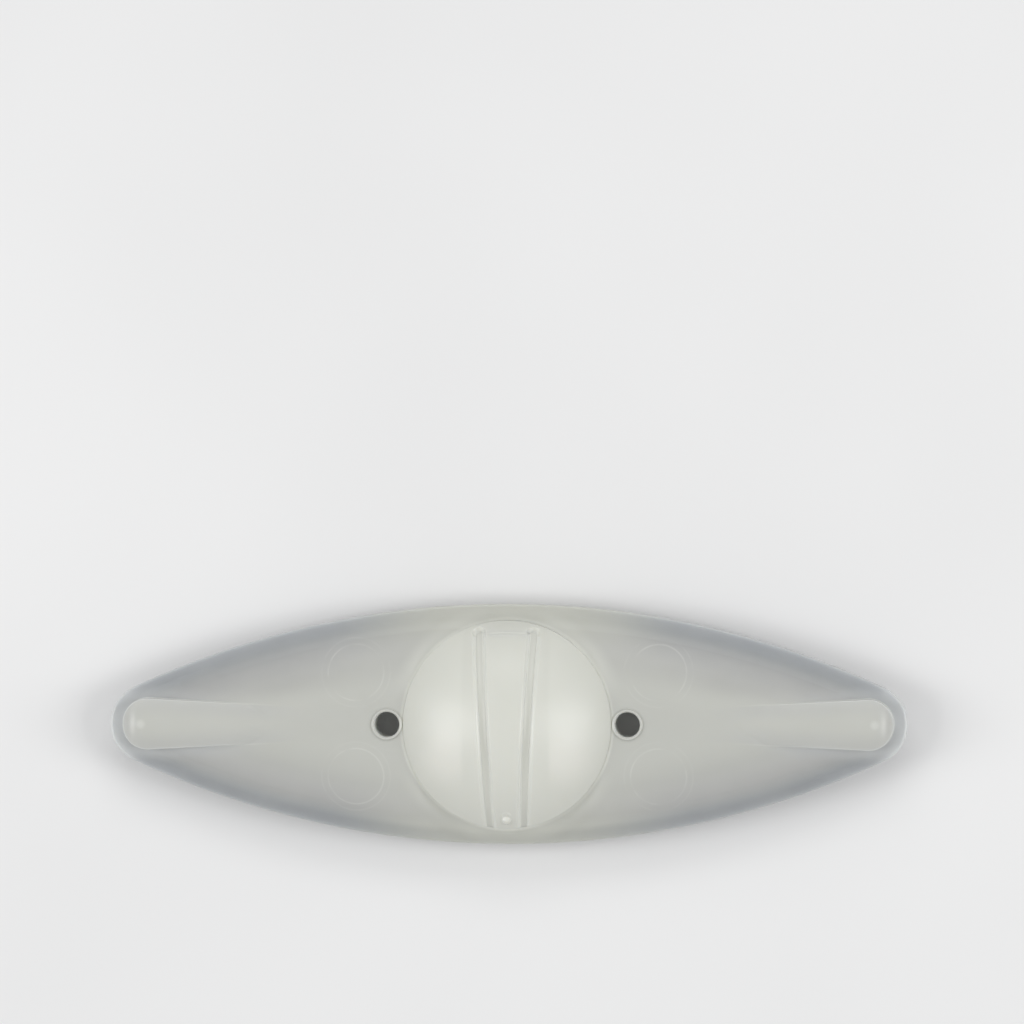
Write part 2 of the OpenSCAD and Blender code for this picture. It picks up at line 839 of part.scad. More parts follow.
module circuit_board() {
    color(board_green)
        difference() {
            translate([0, 0, board_z]) cylinder(r = board_r, h = board_h, $fn = 128);
            for (x = [-lead_x, lead_x])
                translate([x, led_y, 0]) cylinder(r = lead_r + leg_play, h = far);
            at_switch_legs() translate([-leg_t / 2 - leg_play, -leg_w / 2 - leg_play, 0])
                cube([leg_t + 2 * leg_play, leg_w + 2 * leg_play, far]);
        }
}

// Diffuser: a milky inner dome that sits on the holder's rim, with ribs that stand in the slits
module diffuser() {
    color(milky)
        difference() {
            union() {
                intersection() {
                    translate([0, 0, ball_z]) sphere(diffuser_out_r, $fn = 128);
                    translate([0, 0, skirt_end_z]) cylinder(r = skirt_r, h = dome_top_z, $fn = 128);
                }
                for (side = [-1, 1]) slit_rib(side);
            }
            intersection() {
                translate([0, 0, ball_z]) sphere(diffuser_in_r, $fn = 128);
                translate([0, 0, skirt_end_z]) cylinder(r = holder_r - shoulder, h = dome_top_z, $fn = 128);
            }
            translate([0, 0, skirt_end_z - overlap])
                cylinder(r = skirt_in_r, h = rim_top_z - skirt_end_z + overlap, $fn = 128);
            translate([0, switch_y, skirt_end_z]) cylinder(r = boot_hole_r, h = dome_top_z);
        }
}

// Lamp: a flanged round body with a bevelled end
module led_lamp() {
    led_h = led_top_z - board_top_z;
    color(lamp_epoxy)
        translate([0, led_y, board_top_z]) {
            cylinder(d = led_flange_d, h = led_flange_h);
            intersection() {
                cylinder(r = led_r, h = led_h);
                cylinder(r1 = led_h + led_cap_r, r2 = led_cap_r / 2, h = led_h);
            }
        }
}

module led_leads() {
    color(nickel)
        for (x = [-lead_x, lead_x])
            translate([x, led_y, board_z - lead_end]) cylinder(r = lead_r, h = board_h + lead_end);
}

// Switch
module at_switch_legs() {
    for (x = [-leg_x, leg_x], y = [-leg_y, leg_y]) translate([x, switch_y + y, 0]) children();
}

module switch_body() {
    color(black_plastic)
        difference() {
            translate([-switch_side / 2, switch_y - switch_side / 2, board_top_z])
                cube([switch_side, switch_side, switch_h - cover_t]);
            translate([0, switch_y, switch_top_z - cover_t - plunger_inside - plunger_room])
                cylinder(r = plunger_r + plunger_fit, h = far);
        }
}

module switch_cover() {
    color(nickel)
        difference() {
            translate([-switch_side / 2, switch_y - switch_side / 2, switch_top_z - cover_t])
                cube([switch_side, switch_side, cover_t]);
            translate([0, switch_y, board_top_z]) cylinder(r = plunger_r + plunger_fit, h = far);
        }
}

module switch_legs() {
    color(nickel)
        at_switch_legs() translate([-leg_t / 2, -leg_w / 2, board_z - lead_end])
            cube([leg_t, leg_w, board_h + lead_end + switch_h / 3]);
}

module switch_plunger() {
    color(black_plastic)
        translate([0, switch_y, switch_top_z - cover_t - plunger_inside])
            cylinder(r = plunger_r, h = plunger_top_z - switch_top_z + cover_t + plunger_inside);
}

module switch_boot() {
    color(milky)
        translate([0, switch_y, 0])
            difference() {
                translate([0, 0, plunger_top_z - boot_skirt])
                    cylinder(d = boot_d, h = boot_top_z - plunger_top_z + boot_skirt);
                translate([0, 0, plunger_top_z - far]) cylinder(r = plunger_r + boot_fit, h = far);
            }
}

// Small parts on the board
module driver_chip() {
    ball = (chip_r * chip_r + chip_h * chip_h) / (2 * chip_h);
    color(black_plastic)
        intersection() {
            translate([chip_x, chip_y, board_top_z + chip_h - ball]) sphere(ball);
            translate([0, 0, board_top_z]) cylinder(r = board_r, h = chip_h);
        }
}

module resistors() {
    color(black_plastic)
        for (y = resistor_rows) translate([resistor_x, y, board_top_z]) cube(resistor_size);
}

module capacitor() {
    color(ceramic_tan) translate([capacitor_x, capacitor_y, board_top_z]) cube(capacitor_size);
}

front_shell();
rear_shell();
press_tab();
battery_cap();
cap_seal();
battery_holder();
holder_screws();
lower_cell();
upper_cell();
negative_contact();
positive_contact();
circuit_board();
diffuser();
led_lamp();
led_leads();
switch_body();
switch_cover();
switch_legs();
switch_plunger();
switch_boot();
driver_chip();
resistors();
capacitor();
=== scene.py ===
import json
import math

import bpy
from mathutils import Matrix, Vector


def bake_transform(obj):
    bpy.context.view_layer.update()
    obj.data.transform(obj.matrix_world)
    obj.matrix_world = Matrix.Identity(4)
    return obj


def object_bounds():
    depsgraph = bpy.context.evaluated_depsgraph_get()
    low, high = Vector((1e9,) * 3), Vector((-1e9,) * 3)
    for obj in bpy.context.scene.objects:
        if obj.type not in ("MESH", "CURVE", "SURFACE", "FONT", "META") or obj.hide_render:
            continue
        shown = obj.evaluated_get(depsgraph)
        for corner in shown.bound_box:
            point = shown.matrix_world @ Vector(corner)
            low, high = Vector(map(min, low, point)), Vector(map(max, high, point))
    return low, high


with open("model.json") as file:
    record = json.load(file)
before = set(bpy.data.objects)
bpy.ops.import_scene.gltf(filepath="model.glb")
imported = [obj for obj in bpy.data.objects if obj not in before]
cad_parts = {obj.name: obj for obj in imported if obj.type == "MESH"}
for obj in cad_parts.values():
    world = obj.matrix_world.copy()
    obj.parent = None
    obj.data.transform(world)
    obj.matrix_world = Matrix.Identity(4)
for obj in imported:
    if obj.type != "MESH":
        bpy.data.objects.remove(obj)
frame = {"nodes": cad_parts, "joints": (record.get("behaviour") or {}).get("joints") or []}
cad_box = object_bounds()
nodes = frame["nodes"]
scene = bpy.context.scene
MM = 0.001

# Sizes of the part, in millimetres and radians
HALF_LENGTH, HALF_WIDTH, TOP_Z = (round(v / MM, 2) for v in cad_box[1])
TIP_R = 6.25
PART_Z = 5.8
DOME_R, DOME_RISE = 16.0, 6.2
RIDGE_START, RIDGE_TAIL = 27.0, 2.4
RIDGE_NOSE_X, RIDGE_NOSE_R = 55.5, 3.9
POST_X, POST_Y, POST_R, POST_FOOT_R = 23.3, 8.0, 4.3, 5.3
HOLE_X, HOLE_R, BEAD_R = 18.52, 1.95, 2.3
SLIT_OFFSET, SLIT_GAP, SLIT_SHOULDER = 3.45, 0.8, 0.9
SLIT_LEAN, SLIT_OVERRUN = math.radians(3.1), math.radians(1.2)
SLIT_END_R, SLIT_END_LIFT = 1.4, 0.85
SILL_Z, TAB_END_Z = 7.9, 8.9
DOT_Y, DOT_R = -14.4, 0.95

# The leaf's side arcs and round tips, the ball of the dome and the hinge of the press tab
TIP_X = HALF_LENGTH - TIP_R
SIDE_R = (TIP_X ** 2 + HALF_WIDTH ** 2 - TIP_R ** 2) / (2 * (HALF_WIDTH - TIP_R))
SIDE_Y = SIDE_R - HALF_WIDTH
BALL_R = (DOME_R ** 2 + DOME_RISE ** 2) / (2 * DOME_RISE)
BALL_Z = TOP_Z - BALL_R
BALL_CENTRE = Vector((0, 0, BALL_Z))
SLIT_R = math.sqrt(BALL_R ** 2 - SLIT_OFFSET ** 2)
SLIT_FLARE = SLIT_GAP / 2 + SLIT_SHOULDER
hinge = next(joint for joint in frame["joints"] if joint["name"] == "tab_hinge")
HINGE_Y, HINGE_Z = hinge["pos_m"][1] / MM, hinge["pos_m"][2] / MM
HINGE_ANGLE = math.atan2(HINGE_Y, HINGE_Z - BALL_Z)
SLIT_TOP = HINGE_ANGLE + SLIT_OVERRUN

# Places that only the paint has: the painted highlights over the dome's lobes, the painted highlight spots in
# the ridges' noses and the darkest place of the painted shade in the slits
LOBE_X, LOBE_Y, LOBE_R, LOBE_SIDE = 9.0, -5.0, 6.0, 6.7
NOSE_HIGHLIGHT_X, NOSE_HIGHLIGHT_R = 56.5, 1.0
SHADE_Y, SHADE_REACH, SHADE_AT_REACH = -1.5, 11.0, 0.28

# How strongly each feature of the frosted plastic covers the colour under it. Most of them are painted light,
# shade and highlights; the post rings and feet, the bead, the seam and the clouds are not
LOWER_LIGHT_BAND, LOBE_HIGHLIGHT, CREST_SHADE, HINGE_LIGHT = 0.3, 0.48, 0.35, 0.14
RIDGE_EDGE_HIGHLIGHT, NOSE_HIGHLIGHT, POST_RING, POST_FOOT, LIP_HIGHLIGHT = 0.6, 0.35, 0.22, 0.08, 0.2
BEAD, HOLE_WALL_LIGHT, DOT_HIGHLIGHT, SEAM, CLOUDS = 0.28, 0.8, 0.12, 0.35, 0.08


def linear(r, g, b):
    """sRGB 0-255 to a linear colour."""
    def one(v):
        v /= 255
        return v / 12.92 if v <= 0.04045 else ((v + 0.055) / 1.055) ** 2.4
    return (one(r), one(g), one(b), 1)


class Nodes:
    """A short way to write a material's node tree."""

    NEAR_CORE = 0.15
    MIX_FACTOR, MIX_FIRST, MIX_SECOND, MIX_RESULT = 0, 6, 7, 2

    def __init__(self, name):
        self.mat = bpy.data.materials.new(name)
        self.mat.use_nodes = True
        self.tree = self.mat.node_tree
        self.bsdf = self.tree.nodes["Principled BSDF"]

    def put(self, socket, value):
        """Links the value to the socket, or sets the socket to it."""
        if isinstance(value, bpy.types.NodeSocket):
            self.tree.links.new(value, socket)
        else:
            socket.default_value = value

    def node(self, kind, *inputs, **settings):
        made = self.tree.nodes.new(kind)
        for key, value in settings.items():
            setattr(made, key, value)
        for place, value in enumerate(inputs):
            if value is not None:
                self.put(made.inputs[place], value)
        return made

    def math(self, op, a, b=None, c=None):
        return self.node("ShaderNodeMath", a, b, c, operation=op).outputs[0]

    def product(self, first, *others):
        for other in others:
            first = self.math("MULTIPLY", first, other)
        return first

    def length(self, a, b):
        squares = self.math("ADD", self.math("POWER", a, 2), self.math("POWER", b, 2))
        return self.math("SQRT", squares)

    def away(self, a, b, from_a, from_b):
        """Distance of a and b from a place."""
        return self.length(self.math("SUBTRACT", a, from_a), self.math("SUBTRACT", b, from_b))

    def smooth(self, value, low, high, to_low=0.0, to_high=1.0):
        """to_low where value is at low, turning smoothly into to_high at high."""
        ranged = self.node(
            "ShaderNodeMapRange", value, low, high, to_low, to_high, interpolation_type="SMOOTHSTEP")
        return ranged.outputs[0]

    def near(self, value, middle, reach):
        """1 where value is at middle, falling to 0 at reach from it."""
        off = self.math("ABSOLUTE", self.math("SUBTRACT", value, middle))
        return self.smooth(off, reach, reach * self.NEAR_CORE)

    def choose(self, switch, off, on):
        """off where switch is 0, on where it is 1."""
        return self.math("ADD", off, self.math("MULTIPLY", switch, self.math("SUBTRACT", on, off)))

    def mix(self, amount, a, b):
        made = self.node("ShaderNodeMix", data_type="RGBA")
        for place, value in ((self.MIX_FACTOR, amount), (self.MIX_FIRST, a), (self.MIX_SECOND, b)):
            self.put(made.inputs[place], value)
        return made.outputs[self.MIX_RESULT]

    def ramp(self, value, reach, *stops):
        """Colours at places along value, which runs from 0 to reach."""
        made = self.node("ShaderNodeValToRGB", self.math("DIVIDE", value, reach))
        made.color_ramp.interpolation = "CARDINAL"
        points = made.color_ramp.elements
        while len(points) < len(stops):
            points.new(0.5)
        for point, (place, colour) in zip(points, stops):
            point.position = place / reach
            point.color = linear(*colour)
        return made.outputs[0]

    def millimetres(self):
        """The point in the part's own frame, as x, y and z in millimetres."""
        where = self.node("ShaderNodeTexCoord").outputs["Object"]
        scaled = self.node("ShaderNodeVectorMath", where, operation="SCALE")
        scaled.inputs["Scale"].default_value = 1 / MM
        self.point = scaled.outputs[0]
        return self.node("ShaderNodeSeparateXYZ", self.point).outputs

    def noise(self, scale, detail=2.0, rough=0.5):
        made = self.node("ShaderNodeTexNoise")
        inputs = {"Vector": self.point, "Scale": scale, "Detail": detail, "Roughness": rough}
        for key, value in inputs.items():
            self.put(made.inputs[key], value)
        return made.outputs[0]

    def bump(self, height, strength, distance):
        made = self.node("ShaderNodeBump")
        inputs = {"Strength": strength, "Distance": distance * MM, "Height": height}
        for key, value in inputs.items():
            self.put(made.inputs[key], value)
        self.put(self.bsdf.inputs["Normal"], made.outputs[0])

    def set(self, **values):
        for key, value in values.items():
            self.put(self.bsdf.inputs[key.replace("_", " ")], value)


class Frosted(Nodes):
    """The frosted plastic, painted in steps by where a point lies on the part, with painted light, shade and
    highlights among them.
    """

    def __init__(self, name):
        super().__init__(name)
        self.x, self.y, self.z = self.millimetres()
        self.ax, self.ay = self.math("ABSOLUTE", self.x), self.math("ABSOLUTE", self.y)
        self.front = self.math("GREATER_THAN", self.z, PART_Z)
        self.depth = self.leaf_depth()
        self.edge = self.ridge_edge()
        self.from_axis = self.length(self.x, self.y)
        self.on_dome = self.smooth(self.from_axis, DOME_R + 0.6, DOME_R - 0.3)
        from_dot = self.away(self.x, self.y, 0.0, DOT_Y)
        self.dot = self.product(self.smooth(from_dot, DOT_R + 0.15, DOT_R - 0.2), self.front)

    def leaf_depth(self):
        """Distance in from the leaf's edge."""
        from_side = self.math("SUBTRACT", SIDE_R, self.length(self.x, self.math("ADD", self.ay, SIDE_Y)))
        beyond = self.math("SUBTRACT", self.ax, TIP_X)
        from_tip = self.math("SUBTRACT", TIP_R, self.length(beyond, self.y))
        in_tip = self.math("GREATER_THAN", beyond, self.math("MULTIPLY", self.ay, TIP_X / SIDE_Y))
        return self.choose(in_tip, from_side, from_tip)

    def ridge_edge(self):
        """Distance out from the edge of the nearer ridge, negative on it."""
        taper = (RIDGE_NOSE_R - RIDGE_TAIL) / (RIDGE_NOSE_X - RIDGE_START)
        half = self.math("MULTIPLY_ADD", self.ax, taper, RIDGE_TAIL - RIDGE_START * taper)
        flank = self.math("SUBTRACT", self.ay, half)
        past = self.math("SUBTRACT", self.ax, RIDGE_NOSE_X)
        nose = self.math("SUBTRACT", self.length(past, self.y), RIDGE_NOSE_R)
        return self.choose(self.math("GREATER_THAN", past, 0.0), flank, nose)

    def paint(self, colour, *amounts):
        """Mixes in an sRGB colour, by the product of the amounts."""
        self.colour = self.mix(self.product(*amounts), self.colour, linear(*colour))

    def wings(self):
        """Cool and grey where the leaf is thin and warm in its middle. The lower side has painted shade in a
        dark band along its edge and painted light in a pale band further in, the upper side a weaker band of
        painted shade, and the tips painted light."""
        deepest = 14
        thin = self.ramp(
            self.depth, deepest, (0, (174, 177, 180)), (0.7, (160, 163, 166)), (1.8, (155, 158, 160)),
            (2.8, (159, 161, 161)), (4, (168, 169, 168)), (6, (178, 179, 176)), (8, (186, 187, 182)),
            (11, (191, 192, 186)))
        middle = self.ramp(
            self.depth, deepest, (0, (184, 185, 178)), (2.4, (186, 187, 179)), (5, (188, 189, 182)),
            (9, (191, 192, 186)))
        on_wing = self.smooth(self.ax, 9.0, 29.0)
        self.colour = self.mix(on_wing, middle, thin)

        below, above = self.smooth(self.y, 3.0, -5.0), self.smooth(self.y, 2.5, 6.0)
        # Painted shade: a dark band along the lower edge, weaker towards the middle and the tips
        lower_shade_band = self.near(self.depth, 1.0, 1.6)
        off_middle = self.smooth(self.ax, 7.0, 14.0, 0.7, 1.0)
        off_tip = self.smooth(self.ax, 46.0, 55.0, 0.33, 0.03)
        self.paint((128, 131, 132), lower_shade_band, below, off_middle, off_tip)
        # Painted light: a pale band further in on the lower side
        lower_light_band = self.near(self.depth, 4.8, 3.6)
        self.paint((200, 200, 196), lower_light_band, below, LOWER_LIGHT_BAND)
        # Painted shade: a weaker dark band on the upper side, stronger further out
        upper_shade_band = self.near(self.depth, 7.0, 4.5)
        further_out = self.smooth(self.ax, 24.0, 34.0, 0.2, 0.36)
        self.paint((160, 160, 158), upper_shade_band, above, further_out)
        # Painted light at the tips, weaker above, against the shade by the ridges' noses
        tip_light = self.smooth(self.ax, 56.0, 60.0)
        weaker_above = self.smooth(self.y, -1.0, 3.0, 1.0, 0.65)
        self.paint((203, 206, 207), tip_light, weaker_above)

    def dome(self):
        """Paler than the leaf, with a painted highlight over two lobes and painted light glowing through its
        foot on the leaf's long sides. Painted shade darkens the strip between the lobes, more towards the
        top, and the upper end; painted light lies on the leaf just outside its foot."""
        # Painted light glowing through the dome's foot onto the leaf, below and above
        round_foot = self.smooth(self.from_axis, DOME_R + 3.2, DOME_R)
        lower_glow = self.product(self.smooth(self.y, -6.0, -13.0), self.smooth(self.ax, 1.0, 8.0, 0.5, 0.95))
        upper_glow = self.product(self.smooth(self.y, 3.0, 10.0), self.smooth(self.ax, 2.0, 9.0, 0.15, 0.7))
        self.paint((214, 215, 207), round_foot, self.math("ADD", lower_glow, upper_glow), self.front)
        shell = self.ramp(
            self.from_axis, 17, (0, (216, 217, 209)), (10, (215, 216, 208)), (15, (212, 213, 205)),
            (17, (207, 208, 200)))
        self.colour = self.mix(self.on_dome, self.colour, shell)

        # Painted shade on the strip between the lobes, more towards the top
        beside = self.smooth(self.ax, LOBE_SIDE - 0.5, LOBE_SIDE + 0.5)
        between = self.math("SUBTRACT", 1.0, beside)
        strip_shade = self.smooth(self.y, -8.0, 12.0, 0.0, 0.45)
        self.paint((206, 207, 199), between, self.on_dome, strip_shade, self.front)
        # Painted highlight over each lobe, outside the strip
        lobe_highlight = self.smooth(self.away(self.ax, self.y, LOBE_X, LOBE_Y), LOBE_R, 1.0)
        self.paint((232, 231, 224), lobe_highlight, beside, self.front, LOBE_HIGHLIGHT)
        # Painted shade at the dome's upper end
        crest_shade = self.smooth(self.y, 13.4, 16.2)
        self.paint((184, 185, 177), crest_shade, self.on_dome, self.front, CREST_SHADE)

        # Painted light on the leaf just outside the dome's foot, against the shade in the crease there
        outside = self.smooth(self.from_axis, DOME_R - 0.05, DOME_R + 0.1)
        not_far = self.smooth(self.from_axis, DOME_R + 0.7, DOME_R + 0.2)
        weaker_above = self.smooth(self.y, -8.0, 6.0, 0.85, 0.6)
        weaker_at_holes = self.smooth(self.ay, 2.0, 9.0, 0.6, 1.0)
        weaker_at_crest = self.math("MULTIPLY_ADD", crest_shade, -0.5, 1.0)
        self.paint(
            (228, 229, 221), outside, not_far, weaker_above, weaker_at_holes, weaker_at_crest, self.front)

    def shoulders(self):
        """Painted highlights where the dome turns down into the slits, stronger on the tab, and faint painted
        light over its hinge.
        """
        leant = self.math("MULTIPLY_ADD", self.y, -math.tan(SLIT_LEAN), self.ax)
        outward = self.math("SUBTRACT", leant, SLIT_OFFSET)
        from_slit = self.math("ABSOLUTE", outward)
        turning = self.product(self.smooth(from_slit, 0.35, 0.5), self.smooth(from_slit, 0.95, 0.55))
        stronger_on_tab = self.smooth(outward, -0.2, 0.2, 0.62, 0.35)
        under_end = self.smooth(self.y, 14.8, 13.8)
        # Painted highlight on the slits' shoulders, also lighting the shaded slit walls
        shoulder = self.product(turning, stronger_on_tab, under_end, self.on_dome, self.front)
        # Painted light over the tab's hinge end
        at_hinge = self.product(self.smooth(self.y, 13.55, 13.8), self.smooth(self.y, 15.0, 13.9))
        on_tab = self.smooth(outward, -0.4, -0.7)
        hinge_light = self.product(at_hinge, on_tab, self.front, HINGE_LIGHT)
        self.paint((243, 244, 236), self.math("ADD", shoulder, hinge_light))

    def ridges(self):
        """Warm ridges, with painted light beside them towards the tips, more so below, standing in for light
        glowing from their sides.
        """
        # Painted light beside the ridges, against the shade at their foot
        lower_side = self.smooth(self.ax, 36.0, 50.0, 0.0, 0.9)
        upper_side = self.smooth(self.ax, 43.0, 54.0, 0.0, 0.5)
        side_light = self.choose(self.smooth(self.y, -3.0, 3.0), lower_side, upper_side)
        self.paint((190, 192, 192), self.smooth(self.edge, 2.6, 0.0), side_light, self.front)
        off_tail = self.smooth(self.ax, 29.0, 40.0)
        on_ridge = self.product(self.smooth(self.edge, 0.1, -0.3), off_tail, self.front)
        to_edge = self.smooth(self.edge, -3.2, -0.4)
        ridge = self.mix(to_edge, linear(193, 194, 188), linear(188, 189, 185))
        self.colour = self.mix(on_ridge, self.colour, ridge)

    def marks(self):
        """Thin light marks: painted highlights along the edges of the ridges, fading towards the middle, and
        in their noses, broken rings where the posts stand behind the wings, and a painted highlight along the
        leaf's lip."""
        width = 0.2
        # Painted highlight along the ridges' edges
        line = self.product(self.near(self.edge, 0.04, width), self.smooth(self.ax, 33.0, 52.0), RIDGE_EDGE_HIGHLIGHT)
        # Painted highlight in each ridge's nose
        from_nose_highlight = self.away(self.ax, self.y, NOSE_HIGHLIGHT_X, 0.0)
        nose_highlight = self.smooth(from_nose_highlight, NOSE_HIGHLIGHT_R, 0.2, 0.0, NOSE_HIGHLIGHT)
        from_post = self.away(self.ax, self.ay, POST_X, POST_Y)
        patches = self.smooth(self.noise(0.22), 0.36, 0.6)
        ring = self.product(self.near(from_post, POST_R, width), patches, POST_RING)
        foot = self.product(self.near(from_post, POST_FOOT_R, width), patches, POST_FOOT)
        # Painted highlight along the leaf's lip
        lip = self.smooth(self.depth, 0.3, 0.05, 0.0, LIP_HIGHLIGHT)
        strongest = line
        for mark in (nose_highlight, ring, foot, lip):
            strongest = self.math("MAXIMUM", strongest, mark)
        self.paint((224, 225, 220), strongest, self.front)

    def holes(self):
        """A bead round each tie hole, fading next to the dome, and painted light on the wall of the hole."""
        from_hole = self.away(self.ax, self.y, HOLE_X, 0.0)
        off_dome = self.smooth(self.from_axis, DOME_R + 0.2, DOME_R + 1.0)
        self.paint((174, 175, 170), self.near(from_hole, BEAD_R, 0.6), off_dome, self.front, BEAD)
        # Painted light on the hole's wall, standing in for light that comes through the plastic
        inside = self.math("LESS_THAN", from_hole, HOLE_R + 0.03)
        self.paint((243, 244, 240), inside, HOLE_WALL_LIGHT)

    def details(self):
        """The raised dot on the press tab, painted paler, which is partly a painted highlight, the seam round
        the leaf and slight clouds in the plastic.
        """
        # The dot painted paler, partly a painted highlight on it
        self.paint((238, 238, 233), self.dot, DOT_HIGHLIGHT)
        at_side = self.smooth(self.depth, 0.5, 0.2)
        self.paint((120, 123, 125), self.near(self.z, PART_Z, 0.1), at_side, SEAM)
        clouds = self.noise(0.12, 3, 0.55)
        self.paint((205, 205, 200), self.smooth(clouds, 0.3, 0.75, 0.0, CLOUDS))

    def shaded(self, shade):
        """Painted shade down in a slit, darkest about the middle of its length."""
        along = self.math("ABSOLUTE", self.math("SUBTRACT", self.y, SHADE_Y))
        amount = self.smooth(along, SHADE_REACH, 0.0, SHADE_AT_REACH * shade, shade)
        self.paint((186, 187, 178), amount)

    def surface(self, waxy):
        """A fine grain, facets on the dot, and light that goes a little way into the plastic."""
        grain = self.noise(6.0, 3, 0.6)
        rough = self.smooth(grain, 0.2, 0.8, 0.31, 0.39)
        smoother_dot = self.math("MULTIPLY", self.dot, 0.15)
        facets = self.math("MULTIPLY", self.dot, self.noise(2.4, 0))
        self.set(Base_Color=self.colour, Roughness=self.math("SUBTRACT", rough, smoother_dot), IOR=1.49)
        self.set(Subsurface_Weight=waxy, Subsurface_Radius=(1.0, 0.95, 0.85), Subsurface_Scale=1.6 * MM)
        self.bump(self.math("ADD", self.math("MULTIPLY", grain, 0.05), facets), 0.4, 0.3)


def frosted(name, waxy, shade=0.0):
    """Frosted plastic. waxy is how much light goes into it, and shade is how strongly painted shade darkens
    the floor of a slit.
    """
    made = Frosted(name)
    for step in (made.wings, made.dome, made.shoulders, made.ridges, made.marks, made.holes, made.details):
        step()
    if shade:
        made.shaded(shade)
    made.surface(waxy)
    return made.mat


def plain(name, colour, darker, scale, roughness, **shader):
    """A moulded or painted surface with slight clouds in its colour and a fine grain."""
    finer, roughness_spread = 12, 0.06
    bump_strength, bump_height = 0.1, 0.02
    n = Nodes(name)
    n.millimetres()
    clouds = n.noise(scale, 3, 0.55)
    grain = n.noise(scale * finer, 2, 0.6)
    n.set(Base_Color=n.mix(n.smooth(clouds, 0.3, 0.7), darker, colour))
    low, high = roughness - roughness_spread, roughness + roughness_spread
    n.set(Roughness=n.smooth(grain, 0.2, 0.8, low, high), **shader)
    n.bump(grain, bump_strength, bump_height)
    return n.mat


def metal(name, colour, darker, roughness):
    """Rolled or plated steel, with fine lines along X."""
    line_scale, roughness_spread = (0.4, 14, 14), 0.07
    bump_strength, bump_height = 0.08, 0.01
    n = Nodes(name)
    n.millimetres()
    stretched = n.node("ShaderNodeMapping", n.point)
    stretched.inputs["Scale"].default_value = line_scale
    n.point = stretched.outputs[0]
    lines = n.noise(1.0, 3, 0.6)
    n.set(Base_Color=n.mix(n.smooth(lines, 0.3, 0.7), darker, colour), Metallic=1.0)
    low, high = roughness - roughness_spread, roughness + roughness_spread
    n.set(Roughness=n.smooth(lines, 0.3, 0.7, low, high))
    n.bump(lines, bump_strength, bump_height)
    return n.mat


frosted_plastic = frosted("frosted_plastic", 0.55)
frosted_web = frosted("frosted_web", 0.0)
shaded_web = frosted("shaded_web", 0.0, 0.72)
milky = plain("milky_plastic", linear(236, 236, 230), linear(226, 226, 219), 0.2, 0.42,
              Subsurface_Weight=0.4, Subsurface_Radius=(1.0, 0.95, 0.9), Subsurface_Scale=1.0 * MM)
nickel = metal("nickel_steel", linear(206, 204, 198), linear(186, 184, 178), 0.28)
cell_steel = metal("cell_steel", linear(208, 208, 208), linear(188, 188, 189), 0.32)
black = plain("black_plastic", linear(44, 44, 46), linear(34, 34, 36), 0.5, 0.5)
looks = {
    "cap_seal": plain("seal_rubber", linear(42, 42, 43), linear(32, 32, 33), 0.5, 0.6),
    "switch_boot": plain("silicone", linear(214, 215, 212), linear(205, 206, 203), 0.5, 0.5),
    "circuit_board": plain("board_laminate", linear(38, 112, 66), linear(28, 96, 54), 0.4, 0.35),
    "led_lamp": plain("lamp_epoxy", linear(226, 230, 233), linear(214, 219, 224), 0.4, 0.15),
    "driver_chip": plain("chip_epoxy", linear(28, 28, 30), linear(18, 18, 19), 0.6, 0.25),
    "resistors": plain("resistor_body", linear(40, 41, 44), linear(30, 30, 33), 0.8, 0.5),
    "capacitor": plain("capacitor_body", linear(190, 160, 118), linear(176, 146, 104), 0.8, 0.4),
}
shared_looks = (
    (frosted_plastic, ("front_shell", "rear_shell", "press_tab", "battery_cap")),
    (milky, ("diffuser", "battery_holder")),
    (nickel, ("holder_screws", "negative_contact", "positive_contact", "led_leads", "switch_cover",
              "switch_legs")),
    (cell_steel, ("lower_cell", "upper_cell")),
    (black, ("switch_body", "switch_plunger")),
)
for material, names in shared_looks:
    looks.update(dict.fromkeys(names, material))
for name, material in looks.items():
    slots = nodes[name].material_slots
    for slot in slots:
        slot.material = material
    if not len(slots):
        nodes[name].data.materials.append(material)


# Thin webs that join the press tab to the dome: along the floor of each slit, across the hinge line and
# under the tab's free end. Those in the slits stand WEB_INSET in from the dome's wall, and they and the one
# under the tab go WEB_ROOT into the sill
WEB_INSET, WEB_ROOT = 0.06, 0.06


def spread(low, high, count):
    """count values, evenly spaced from low to high."""
    return [low + (high - low) * i / (count - 1) for i in range(count)]


def ease(value, low, high):
    """0 up to low, turning smoothly into 1 at high."""
    t = min(1.0, max(0.0, (value - low) / (high - low)))
    return t * t * (3 - 2 * t)


def slit_place(side, angle):
    """A point on the middle line of a slit, with the directions out of the dome and across the slit."""
    lean = Matrix.Rotation(-side * SLIT_LEAN, 3, "Z")
    point = Vector((side * SLIT_OFFSET, SLIT_R * math.sin(angle), SLIT_R * math.cos(angle)))
    out = point.normalized()
    across = (Vector((1, 0, 0)) - out.x * out).normalized()
    return lean @ point + BALL_CENTRE, lean @ out, lean @ across


def slit_point(side, angle, beside, over):
    """A point beside and over the middle line of a slit."""
    point, out, across = slit_place(side, angle)
    return point + across * beside + out * over


def slit_foot(side, beside, over):
    """The angle at which such a point comes to the foot of the dome."""
    low, high, halvings = math.radians(-46), math.radians(-36), 30
    for _ in range(halvings):
        angle = (low + high) / 2
        point = slit_point(side, angle, beside, over)
        if math.hypot(point.x, point.y) > DOME_R - WEB_INSET:
            low = angle
        else:
            high = angle
    return high


